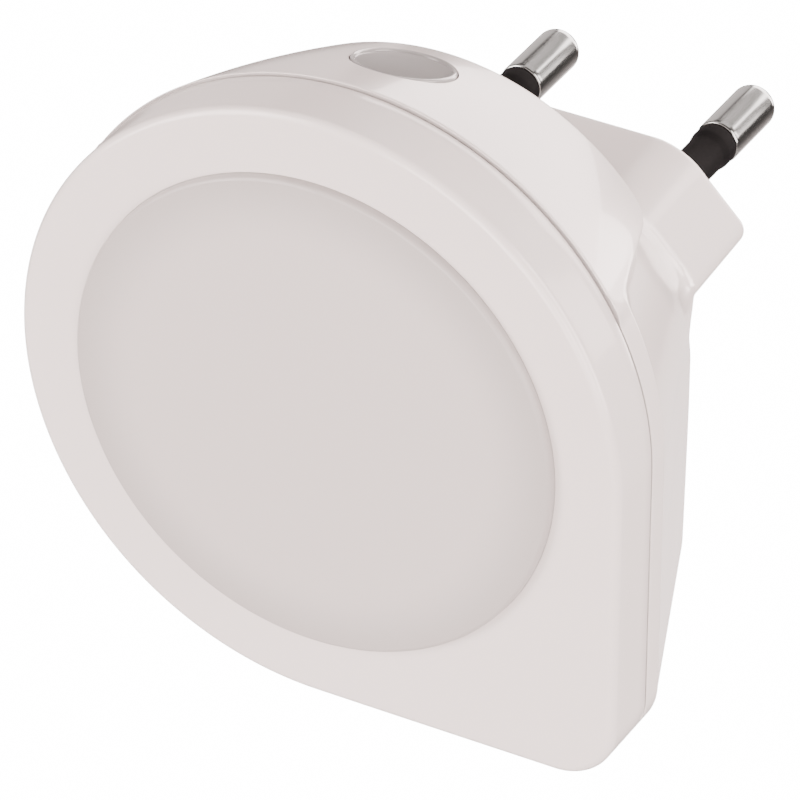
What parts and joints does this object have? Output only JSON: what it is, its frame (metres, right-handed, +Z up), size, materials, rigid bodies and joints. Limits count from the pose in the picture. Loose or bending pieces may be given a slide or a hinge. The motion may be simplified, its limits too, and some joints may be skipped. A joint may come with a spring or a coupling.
{
  "type": "plug-in night light",
  "caption": "Drop-shaped plug-in night light: round lit disc in a white case with one square corner, dusk sensor window on top, sleeved round mains pins at the back.",
  "frame": {"origin": "centre of the plug face, midway between the two pins, where the plug body meets the socket", "axes": "+Y along the pins into the wall, +Z up, +X to the right as seen from the room; the lit face looks along -Y"},
  "size_m": [0.0556, 0.0624, 0.0556],
  "materials": {
    "white_plastic": "satin",
    "opal_plastic": "satin",
    "window_plastic": "gloss",
    "black_plastic": "matte",
    "pin_metal": "polished",
    "screw_steel": "satin",
    "solder_tin": "satin",
    "board_resin": "satin",
    "white_resin": "matte",
    "led_resin": "satin",
    "clamp_plastic": "matte",
    "film_case": "satin",
    "can_sleeve": "satin",
    "resistor_lacquer": "satin",
    "diode_glass": "gloss",
    "cell_ceramic": "matte"
  },
  "bodies": {
    "root": {"front_shell": "white_plastic", "back_shell": "white_plastic", "diffuser": "opal_plastic", "reflector": "white_resin", "led_board": "white_resin", "leds": "led_resin", "driver_board": "board_resin", "film_capacitor": "film_case", "smoothing_capacitor": "can_sleeve", "bridge_rectifier": "black_plastic", "fusible_resistor": "resistor_lacquer", "bleeder_resistors": "black_plastic", "zener_diode": "diode_glass", "transistor": "black_plastic", "photoresistor": "cell_ceramic", "sensor_window": "window_plastic", "sensor_tube": "black_plastic", "left_pin": "pin_metal", "right_pin": "pin_metal", "left_sleeve": "black_plastic", "right_sleeve": "black_plastic", "pin_clamp": "clamp_plastic", "clamp_screw": "screw_steel", "board_links": "solder_tin", "board_screws": "screw_steel", "case_screw": "screw_steel"}
  },
  "joints": []
}
